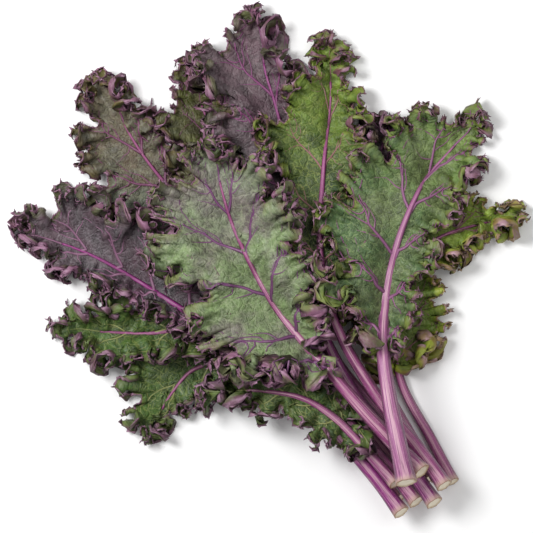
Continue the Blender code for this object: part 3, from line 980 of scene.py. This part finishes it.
STALK_SIDES, MAIN_VEIN_SIDES, BRANCH_SIDES = 20, 8, 5
UPPER_VEIN = 0.62  # how thick a vein is on the upper side of a blade, beside the underside
PAST_STALK = 5.0  # where a vein's UV map begins, in decimetres from a cut end


def leaf_piece(leaf, blade, shape, rng, looks):
    veins = vein_plan(leaf, blade.margin, rng)
    from_vein = distance_to_veins(blade.sheet, veins)
    swell(leaf, blade, from_vein, shape.bulge)
    path, radius = rib_path(leaf, blade)
    pieces = [
        blade_piece(leaf, blade, from_vein, looks["blade"], shape.thickness),
        tube(leaf.name + "_stalk", path, radius, STALK_SIDES, looks["stalk"], ribbed, RIB_HEIGHT, cut=True)]
    for vein in veins:
        line = vein.on(blade.sheet, blade.points)
        width = np.linspace(vein.thick, vein.thin, len(line))
        if not leaf.rib_up:
            width = width * UPPER_VEIN
        sides = MAIN_VEIN_SIDES if vein.main else BRANCH_SIDES
        pieces.append(tube(leaf.name + "_vein", line, width, sides, looks["vein"], from_cut=PAST_STALK))
    return joined(leaf.name + "_curly", pieces)


# ---------------------------------------------------------------------------------------------------------
# Colours

COLOURS = (
    ("upper_base", "Upper side, by its base", "Colour of the blade's upper side, by its base"),
    ("upper", "Upper side", "Colour of the upper side towards the tip"),
    ("under", "Underside", "Colour of the blade's underside, by its base"),
    ("under_far", "Underside towards the tip", "Colour of the underside towards the tip"),
    ("flush", "Flush", "What the blade turns to in patches and by its veins"),
    ("frill", "Frill", "Colour of the blade towards its margin"),
    ("tip", "Nubs", "Colour of the nubs of the margin"),
    ("vein", "Veins", "Colour of the side veins"),
    ("stalk", "Stalk", "Colour of the stalk and midrib"),
    ("network", "Network", "Colour of the smallest veins"),
)
Look = namedtuple("Look", [key for key, _, _ in COLOURS])


def srgb(*values):
    """A colour from its red, green and blue between 0 and 255, as linear light."""
    return tuple((v / 255 / 12.92 if v / 255 <= 0.04045 else ((v / 255 + 0.055) / 1.055) ** 2.4)
                 for v in values) + (1.0,)


def mixed(a, b, share):
    """Two colours mixed, with that share of the first."""
    return tuple(share * x + (1 - share) * y for x, y in zip(a, b))


BLACK = (0.0, 0.0, 0.0, 1.0)

# Each look's colours, in the order of COLOURS
LOOKS = {name: Look(*(srgb(*colour) for colour in colours)) for name, colours in {
    "sage": ((70, 88, 42), (78, 98, 46), (110, 130, 84), (112, 116, 100), (106, 94, 94),
             (118, 122, 76), (122, 76, 102), (112, 62, 108), (142, 60, 116), (160, 166, 134)),
    "sage_bright": ((66, 92, 36), (78, 108, 40), (76, 102, 62), (114, 138, 66), (88, 100, 62),
                    (122, 134, 62), (110, 68, 80), (140, 84, 126), (154, 84, 134), (148, 164, 106)),
    "fresh_green": ((40, 60, 32), (114, 140, 44), (64, 88, 48), (116, 140, 54), (80, 98, 46),
                    (126, 140, 54), (108, 66, 74), (150, 104, 104), (146, 62, 120), (160, 170, 90)),
    "dark_green": ((54, 80, 34), (60, 90, 34), (74, 98, 50), (90, 114, 58), (66, 80, 42),
                   (98, 112, 54), (98, 62, 78), (132, 138, 80), (142, 66, 118), (146, 156, 86)),
    "bright_green": ((96, 122, 42), (128, 152, 46), (92, 116, 56), (116, 138, 62), (92, 104, 46),
                     (156, 166, 60), (140, 118, 62), (134, 92, 96), (146, 64, 120), (160, 170, 90)),
    "olive": ((70, 74, 36), (78, 82, 36), (92, 98, 84), (96, 86, 72), (86, 72, 58),
              (104, 92, 56), (112, 70, 90), (118, 64, 98), (142, 60, 116), (132, 134, 100)),
    "purple": ((66, 74, 38), (74, 84, 40), (82, 72, 76), (110, 90, 96), (80, 58, 68),
               (92, 90, 58), (122, 76, 102), (130, 66, 114), (134, 40, 116), (126, 108, 114)),
    "dusky_purple": ((70, 74, 40), (80, 84, 42), (64, 60, 63), (82, 70, 75), (78, 56, 66),
                     (88, 90, 60), (124, 78, 104), (134, 92, 120), (132, 32, 114), (122, 108, 118)),
    "dark_purple": ((56, 62, 34), (62, 70, 36), (76, 66, 70), (88, 70, 76), (70, 50, 60),
                    (88, 74, 56), (96, 58, 80), (112, 58, 98), (140, 62, 114), (104, 90, 96)),
}.items()}


# ---------------------------------------------------------------------------------------------------------
# Materials


class Wiring:
    """Adds nodes to a tree and links them in one go."""

    def __init__(self, tree):
        self.nodes = tree.nodes
        self.links = tree.links

    def add(self, kind, settings=None, **sockets):
        """A new node. A socket is named, with _ for a space, or numbered, with _ before the number."""
        node = self.nodes.new(kind)
        for key, value in (settings or {}).items():
            setattr(node, key, value)
        for key, value in sockets.items():
            at = int(key[1:]) if key[0] == "_" else key.replace("_", " ")
            if isinstance(value, bpy.types.NodeSocket):
                self.links.new(value, node.inputs[at])
            else:
                node.inputs[at].default_value = value
        return node

    def math(self, operation, a, b=0.0, clamp=False):
        return self.add("ShaderNodeMath", {"operation": operation, "use_clamp": clamp}, _0=a, _1=b).outputs[0]

    def times(self, a, b):
        return self.math("MULTIPLY", a, b)

    def plus(self, a, b, clamp=False):
        return self.math("ADD", a, b, clamp)

    def swing(self, value, amount):
        """A value about a half, made one about zero and that many times as strong."""
        return self.times(self.math("SUBTRACT", value, 0.5), amount)

    def ramp(self, value, low, high, to_low=0.0, to_high=1.0):
        node = self.add("ShaderNodeMapRange", {"clamp": True, "interpolation_type": "SMOOTHSTEP"}, _0=value,
                        _1=low, _2=high, _3=to_low, _4=to_high)
        return node.outputs[0]

    def mix(self, share, a, b, blend="MIX"):
        node = self.add("ShaderNodeMix", {"data_type": "RGBA", "blend_type": blend}, _0=share, _6=a, _7=b)
        return node.outputs[2]

    def noise(self, vector, scale, detail=3.0, rough=0.55):
        node = self.add("ShaderNodeTexNoise", None, Vector=vector, Scale=scale, Detail=detail,
                        Roughness=rough)
        return node.outputs[0]

    def vector(self, operation, a, **sockets):
        return self.add("ShaderNodeVectorMath", {"operation": operation}, _0=a, **sockets).outputs[0]

    def cells(self, vector, scale):
        """How far it is to the nearest border between cells."""
        node = self.add("ShaderNodeTexVoronoi", {"feature": "DISTANCE_TO_EDGE"}, Vector=vector, Scale=scale)
        return node.outputs[0]

    def attribute(self, name):
        return self.add("ShaderNodeAttribute", {"attribute_name": name}).outputs["Fac"]

    def place(self):
        return self.add("ShaderNodeTexCoord").outputs["Object"]

    def uv(self):
        return self.add("ShaderNodeUVMap", {"uv_map": "along"}).outputs[0]


def surface_group(name, colours, amounts=()):
    """A new node group for a surface, which puts out its colour, roughness and height."""
    made = bpy.data.node_groups.new(name, "ShaderNodeTree")
    for label in colours:
        made.interface.new_socket(name=label, in_out="INPUT", socket_type="NodeSocketColor")
    for label in amounts:
        made.interface.new_socket(name=label, in_out="INPUT", socket_type="NodeSocketFloat")
    for label, kind in (("Colour", "Color"), ("Roughness", "Float"), ("Height", "Float")):
        made.interface.new_socket(name=label, in_out="OUTPUT", socket_type="NodeSocket" + kind)
    return Wiring(made), made.nodes.new("NodeGroupInput").outputs


BLOOM = (0.34, 0.36, 0.34, 1.0)
# The lighter mauve of a painted highlight along the margin's edge
EDGE_HIGHLIGHT_MAUVE = (0.44, 0.25, 0.37, 1.0)


def blade_group():
    """The surface of a blade: patches, small veins, a bloom, the frill with its nubs, and a painted highlight
    of lighter mauve on its edge.
    """
    w, given = surface_group("kale_blade", ("Blade", "Far Blade", "Flush", "Frill", "Tip", "Network"),
                             ("Frill Depth", "Flush Amount", "Bloom", "Small Veins"))
    place = w.place()
    flat = w.uv()
    margin = w.attribute("from_margin")
    patches = w.noise(place, 26.0, 4.0, 0.6)
    mottle = w.noise(place, 130.0, 4.0, 0.6)
    grain = w.noise(place, 900.0, 2.0, 0.5)
    # From the base to the tip, with a flush of purple in patches and near the veins
    far = w.plus(w.attribute("towards_tip"), w.swing(patches, 0.9))
    base = w.mix(w.ramp(far, 0.45, 1.05), given["Blade"], given["Far Blade"])
    near_vein = w.ramp(w.attribute("from_vein"), 5.0, 0.5)
    flush = w.times(w.ramp(patches, 0.42, 0.66), given["Flush Amount"])
    base = w.mix(w.plus(flush, w.times(near_vein, 0.30), True), base, given["Flush"])
    light = w.ramp(mottle, 0.3, 0.72, 0.58, 1.36)
    grey = w.add("ShaderNodeCombineColor", None, _0=light, _1=light, _2=light).outputs[0]
    base = w.mix(1.0, base, grey, "MULTIPLY")
    # The network of small veins
    warp = w.add("ShaderNodeTexNoise", None, Vector=flat, Scale=14.0, Detail=2.0).outputs[1]
    bent = w.vector("ADD", flat, _1=w.vector("SCALE", warp, Scale=0.10))
    cells = w.cells(bent, 15.0)
    fine = w.cells(bent, 44.0)
    lines = w.math("MAXIMUM", w.ramp(cells, 0.055, 0.012), w.times(w.ramp(fine, 0.10, 0.02), 0.45))
    lines = w.times(lines, w.ramp(margin, 1.5, 6.0))
    base = w.mix(w.times(lines, given["Small Veins"]), base, w.mix(0.5, base, given["Network"]))
    # Towards the margin it turns to the colour of the frill, then of the nubs, and last to a lighter mauve
    # edge, which is a painted highlight.
    frill = w.mix(w.ramp(w.noise(place, 38.0), 0.53, 0.72), given["Frill"], given["Tip"])
    reach = w.plus(margin, w.swing(w.noise(place, 70.0), 9.0))
    base = w.mix(w.ramp(reach, given["Frill Depth"], 0.6, 0.0, 0.85), base, frill)
    base = w.mix(w.ramp(w.plus(margin, w.swing(mottle, 1.6)), 1.3, 0.3), base, given["Tip"])
    # Painted highlight: the outmost edge lightened towards mauve, in blotches
    edge = w.times(w.ramp(margin, 0.75, 0.15), w.ramp(mottle, 0.38, 0.62, 0.15, 0.75))
    base = w.mix(edge, base, EDGE_HIGHLIGHT_MAUVE)
    # A waxy bloom, dusted unevenly
    dust = w.times(w.ramp(grain, 0.35, 0.75), w.ramp(w.noise(place, 48.0, 5.0, 0.65), 0.35, 0.7))
    base = w.mix(w.times(dust, given["Bloom"]), base, BLOOM)
    pucker = w.times(w.ramp(cells, 0.0, 0.30), 0.5)
    pores = w.plus(w.times(w.ramp(fine, 0.0, 0.3), 0.22), w.times(grain, 0.10))
    w.add("NodeGroupOutput", None, Colour=base, Roughness=w.plus(0.44, w.times(dust, 0.25)),
          Height=w.plus(pucker, pores))


CUT_SKIN = (0.56, 0.42, 0.30, 1.0)  # the skin right by a cut
CUT_RIM = (0.26, 0.11, 0.05, 1.0)
CUT_FLESH = (0.68, 0.54, 0.34, 1.0)
CUT_PITH = (0.90, 0.80, 0.62, 1.0)


def stalk_group():
    """The skin of a stalk or vein: long pale and dark streaks, paler by the cut, with a painted highlight
    along its top and painted shade on its flanks.
    """
    w, given = surface_group("kale_stalk", ("Skin", "Pale", "Dark"))
    split = w.add("ShaderNodeSeparateXYZ", None, _0=w.uv())
    round_it, run = split.outputs[0], split.outputs[1]
    place = w.place()

    def streaked(across, along, detail):
        stretched = w.add("ShaderNodeCombineXYZ", None, _0=w.times(round_it, across), _1=w.times(run, along))
        return w.noise(stretched.outputs[0], 1.0, detail, 0.6)

    streaks = streaked(9.0, 0.9, 4.0)
    hair = streaked(30.0, 2.2, 3.0)
    # Pale and dark streaks, the pale ones gathered into a painted highlight down the middle of the top
    # (mirrored underneath), and painted shade on the flanks
    off_highlit_middle = w.math("ABSOLUTE", w.math("SUBTRACT", round_it, 0.5))
    off_highlit_middle = w.plus(off_highlit_middle, w.swing(streaks, 0.7))
    # Painted shade: the flanks turn to the dark colour
    base = w.mix(w.ramp(off_highlit_middle, 0.16, 0.36), given["Skin"], given["Dark"])
    pale = w.ramp(run, 2.6, 1.3, 0.20, 1.0)
    # Painted highlight: pale down the middle of the top, most by the cut
    base = w.mix(w.times(pale, w.ramp(off_highlit_middle, 0.14, 0.02, 0.0, 0.65)), base, given["Pale"])
    base = w.mix(w.ramp(hair, 0.48, 0.36, 0.0, 0.8), base, given["Dark"])
    base = w.mix(w.times(pale, w.ramp(hair, 0.53, 0.66, 0.0, 0.9)), base, given["Pale"])
    base = w.mix(w.ramp(w.plus(run, w.swing(streaks, 0.10)), 0.07, 0.0, 0.0, 0.6), base, CUT_SKIN)
    # The cut end: a brown rim, a cream ring and a paler pith
    flesh = w.mix(w.ramp(run, -0.35, -0.75), CUT_FLESH, CUT_PITH)
    blotched = w.plus(run, w.swing(w.noise(place, 700.0), 0.6))
    flesh = w.mix(w.ramp(blotched, -0.38, -0.12, 0.0, 0.85), flesh, CUT_RIM)
    base = w.mix(w.ramp(run, -0.01, -0.03), base, flesh)
    base = w.mix(w.ramp(w.noise(place, 420.0), 0.55, 0.75, 0.0, 0.2), base, given["Pale"])
    w.add("NodeGroupOutput", None, Colour=base, Roughness=w.plus(0.32, w.times(hair, 0.2)),
          Height=w.plus(w.times(hair, 0.6), w.times(streaks, 0.4)))


def new_material(name):
    shade = bpy.data.materials.new(name)
    shade.use_nodes = True
    return shade, Wiring(shade.node_tree), shade.node_tree.nodes["Principled BSDF"]


BLADE_RELIEF, STALK_RELIEF = 0.0013, 0.0004  # how high their bumps seem, in metres
BLADE_SHINE, STALK_SHINE = 0.38, 0.5


def surfaced(name, group, bump, specular, values):
    """A material with the surface of a node group, given those values."""
    shade, w, shader = new_material(name)
    surface = w.nodes.new("ShaderNodeGroup")
    surface.node_tree = bpy.data.node_groups[group]
    for label, value in values.items():
        surface.inputs[label].default_value = value
    relief = w.add("ShaderNodeBump", None, Height=surface.outputs["Height"], Distance=bump, Strength=0.8)
    w.links.new(surface.outputs["Colour"], shader.inputs["Base Color"])
    w.links.new(surface.outputs["Roughness"], shader.inputs["Roughness"])
    w.links.new(relief.outputs[0], shader.inputs["Normal"])
    shader.inputs["Specular IOR Level"].default_value = specular
    return shade


def blade_material(name, look, blade, far_blade, flush_amount, bloom, frill_depth):
    return surfaced(name, "kale_blade", BLADE_RELIEF, BLADE_SHINE, {
        "Blade": blade, "Far Blade": far_blade, "Flush": look.flush, "Frill": look.frill, "Tip": look.tip,
        "Network": look.network, "Frill Depth": frill_depth, "Flush Amount": flush_amount, "Bloom": bloom,
        "Small Veins": 0.75})


def stalk_material(name, skin, pale, dark):
    return surfaced(name, "kale_stalk", STALK_RELIEF, STALK_SHINE, {"Skin": skin, "Pale": pale, "Dark": dark})


def floor_material(colour):
    """A pale matt floor, very faintly uneven."""
    shade, w, shader = new_material("pale_floor")
    shader.inputs["Base Color"].default_value = colour
    w.links.new(w.ramp(w.noise(w.place(), 60.0, 4.0), 0.3, 0.7, 0.74, 0.86), shader.inputs["Roughness"])
    return shade


STALK_PALE = srgb(232, 196, 200)
VEIN_PALE = srgb(200, 180, 180)


def looks_of(leaf):
    """The finishes of a leaf, in the colours of its look."""
    look = getattr(bpy.context.scene.kale, leaf.look)
    upper = blade_material(leaf.name + "_upper", look, look.upper_base, look.upper,
                           flush_amount=0.5, bloom=0.15, frill_depth=4.5)
    under = blade_material(leaf.name + "_under", look, look.under, look.under_far,
                           flush_amount=0.9, bloom=0.25, frill_depth=5.0)
    stalk = stalk_material(leaf.name + "_stalk", look.stalk, mixed(look.stalk, STALK_PALE, 0.32),
                           mixed(look.stalk, BLACK, 0.42))
    vein = stalk_material(leaf.name + "_veins", look.vein, mixed(look.vein, VEIN_PALE, 0.6),
                          mixed(look.vein, BLACK, 0.6))
    return {"blade": (under, upper) if leaf.rib_up else (upper, under), "stalk": stalk, "vein": vein}


# ---------------------------------------------------------------------------------------------------------
# Settings


def length(name, description, default, most):
    return bpy.props.FloatProperty(name=name, description=description, default=default, min=0.0, max=most,
                                   unit="LENGTH", precision=4)


def factor(name, description, default, most):
    return bpy.props.FloatProperty(name=name, description=description, default=default, min=0.0, max=most)


def power(name, description, default):
    return bpy.props.FloatProperty(name=name, description=description, default=default, min=0.0, unit="POWER")


def colour(name, description, default):
    return bpy.props.FloatVectorProperty(name=name, description=description, default=default, size=4,
                                         subtype="COLOR", min=0.0, max=1.0)


class KaleShape(bpy.types.PropertyGroup):
    """How the margins of the leaves are cut, and how much they have grown."""

    reach: factor("Reach", "How far a blade reaches beside the plain leaf", 1.01, 1.2)
    lobe_depth: factor("Lobe depth", "Depth of the notches between lobes, as a share of the reach", 0.42, 0.5)
    frill_span: length("Frill span", "Margin from one notch within a lobe to the next", 0.028, 0.1)
    frill_depth: length("Frill depth", "Depth of the notches within a lobe", 0.011, 0.012)
    lobule_span: length("Lobule span", "Margin from one small notch to the next", 0.0105, 0.05)
    lobule_depth: length("Lobule depth", "Depth of the small notches", 0.0046, 0.005)
    nub: length("Nub", "How far the nubs along the margin stand out", 0.0023, 0.005)
    growth: factor("Growth", "How much longer a margin has grown than it was", 3.0, 5.0)
    growth_depth: length("Growth depth", "How far into the blade that growth reaches", 0.0048, 0.02)
    frill_growth: factor("Edge growth", "How much longer still the outmost edge has grown", 2.2, 5.0)
    frill_growth_depth: length("Edge depth", "How far in the edge's own growth reaches", 0.0024, 0.01)
    curl: length("Curl", "How far the lobes start out bent up, and the notches down", 0.007, 0.02)
    bulge: length("Bulge", "How far the blade swells between its veins", 0.0019, 0.004)
    thickness: length("Thickness", "Thickness of a blade", 0.0005, 0.002)


def look_group(name, look):
    """A property group that holds the colours of one look."""
    held = {key: colour(label, description, getattr(look, key)) for key, label, description in COLOURS}
    return type(name, (bpy.types.PropertyGroup,), {"__annotations__": held})


LOOK_GROUPS = {key: look_group("KaleLook_" + key, look) for key, look in LOOKS.items()}


class KaleStage(bpy.types.PropertyGroup):
    """The floor, the light and the camera."""

    floor: colour("Floor", "Colour of the floor", (0.96, 0.96, 0.96, 1.0))
    sky: factor("Sky", "Strength of the even light from all round", 0.40, 5.0)
    key: power("Key light", "Power of the main light", 21.0)
    fill: power("Fill light", "Power of the second light", 6.0)
    width: length("Width of view", "How much of the floor the camera sees from side to side", 0.400, 5.0)
    turn: bpy.props.FloatProperty(name="Turn of view", description="How far the camera is turned",
                                  default=math.radians(-30), subtype="ANGLE")


KaleSettings = type("KaleSettings", (bpy.types.PropertyGroup,), {"__annotations__": {
    "shape": bpy.props.PointerProperty(type=KaleShape, name="Shape"),
    "stage": bpy.props.PointerProperty(type=KaleStage, name="Stage"),
    **{key: bpy.props.PointerProperty(type=kind, name=key) for key, kind in LOOK_GROUPS.items()},
}})


# ---------------------------------------------------------------------------------------------------------
# Operators

FIRST_SEED = 100
laid = []  # the blades that lie there already, as points and triangles


def lay_leaves(names):
    """Grows those leaves in the order in which they lie, each on those before it and under those after."""
    settings = bpy.context.scene.kale
    if "kale_blade" not in bpy.data.node_groups:
        blade_group()
        stalk_group()
    pile = Pile()
    for points, triangles in laid:
        pile.add(points, triangles)
    for number, leaf in enumerate(LEAVES):
        if leaf.name not in names:
            continue
        rng = np.random.default_rng(FIRST_SEED + number)
        later = [other.name for other in LEAVES[number + 1:]]
        blade = grow_blade(leaf, settings.shape, pile, later, rng)
        laid.append((blade.points, blade.sheet.triangles()))
        pile.add(*laid[-1])
        piece = leaf_piece(leaf, blade, settings.shape, rng, looks_of(leaf))
        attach(piece, "root")
        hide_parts(leaf.name)


class KALE_OT_back_leaves(bpy.types.Operator):
    """Lays the leaves that lie on the floor or right above it"""

    bl_idname = "kale.back_leaves"
    bl_label = "Lay Back Leaves"

    def execute(self, context):
        laid.clear()
        lay_leaves(("leaf_hanging", "leaf_upper_left", "leaf_back_left", "leaf_far_right", "leaf_back_right"))
        return {"FINISHED"}


class KALE_OT_middle_leaves(bpy.types.Operator):
    """Lays the leaves in the middle of the bunch on those at the back"""

    bl_idname = "kale.middle_leaves"
    bl_label = "Lay Middle Leaves"

    def execute(self, context):
        lay_leaves(("leaf_lower_left", "leaf_left", "leaf_low_front", "leaf_top_left", "leaf_top_centre"))
        return {"FINISHED"}


class KALE_OT_front_leaves(bpy.types.Operator):
    """Lays the two large leaves in front on all the others"""

    bl_idname = "kale.front_leaves"
    bl_label = "Lay Front Leaves"

    def execute(self, context):
        lay_leaves(("leaf_front_left", "leaf_front_right"))
        return {"FINISHED"}


CAMERA_PLACE = (-0.0172, 0.0171, 3.03)
VIEWED_FROM = 3.0  # from the camera to the middle of the bunch
SENSOR = 36.0
LAMPS = (("key", (-0.55, 0.75, 1.2), 0.6), ("fill", (0.8, 0.1, 1.3), 1.2))  # name, place and size
FLOOR_SIZE = 6
FLOOR_HEIGHT = -0.0004


class KALE_OT_stage(bpy.types.Operator):
    """Sets up the floor, the soft light and the camera"""

    bl_idname = "kale.stage"
    bl_label = "Set Up Stage"

    def execute(self, context):
        stage = context.scene.kale.stage
        bpy.ops.object.select_all(action="DESELECT")
        bpy.ops.mesh.primitive_plane_add(size=FLOOR_SIZE, location=(0, 0, FLOOR_HEIGHT))
        floor = bpy.context.active_object
        floor.name = "floor"
        floor.data.materials.append(floor_material(stage.floor))
        world = bpy.data.worlds.new("studio")
        world.use_nodes = True
        sky = world.node_tree.nodes["Background"]
        sky.inputs["Color"].default_value = (1.0, 1.0, 1.0, 1.0)
        sky.inputs["Strength"].default_value = stage.sky
        context.scene.world = world
        context.scene.view_settings.view_transform = "Standard"
        for name, place, size in LAMPS:
            turn = (-Vector(place)).to_track_quat("-Z", "Y").to_euler()
            bpy.ops.object.light_add(type="AREA", location=place, rotation=turn)
            lamp = bpy.context.active_object
            lamp.name = name
            lamp.data.size = size
            lamp.data.energy = getattr(stage, name)
        bpy.ops.object.camera_add(location=CAMERA_PLACE, rotation=(0, 0, stage.turn))
        camera = bpy.context.active_object
        camera.name = "camera"
        camera.data.sensor_width = SENSOR
        camera.data.lens = SENSOR * VIEWED_FROM / stage.width
        context.scene.camera = camera
        return {"FINISHED"}


class KALE_PT_bunch(bpy.types.Panel):
    """The settings of the bunch, and a button for each step of making it"""

    bl_label = "Kale Bunch"
    bl_space_type = "VIEW_3D"
    bl_region_type = "UI"
    bl_category = "Kale"

    def draw(self, context):
        settings = context.scene.kale
        column = self.layout.column()
        for kind, held in ((KaleShape, settings.shape), (KaleStage, settings.stage)):
            for key in kind.__annotations__:
                column.prop(held, key)
        for look in LOOKS:
            column.label(text=look.replace("_", " ").title())
            for key, _, _ in COLOURS:
                column.prop(getattr(settings, look), key)
        for operator in OPERATORS:
            column.operator(operator.bl_idname)


OPERATORS = (KALE_OT_back_leaves, KALE_OT_middle_leaves, KALE_OT_front_leaves, KALE_OT_stage)
CLASSES = (KaleShape, *LOOK_GROUPS.values(), KaleStage, KaleSettings, *OPERATORS, KALE_PT_bunch)


def register():
    for kind in CLASSES:
        bpy.utils.register_class(kind)
    bpy.types.Scene.kale = bpy.props.PointerProperty(type=KaleSettings)


def unregister():
    del bpy.types.Scene.kale
    for kind in reversed(CLASSES):
        bpy.utils.unregister_class(kind)


def main():
    register()
    bpy.ops.kale.back_leaves()
    bpy.ops.kale.middle_leaves()
    bpy.ops.kale.front_leaves()
    bpy.ops.kale.stage()
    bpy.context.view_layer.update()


if __name__ == "__main__":
    main()
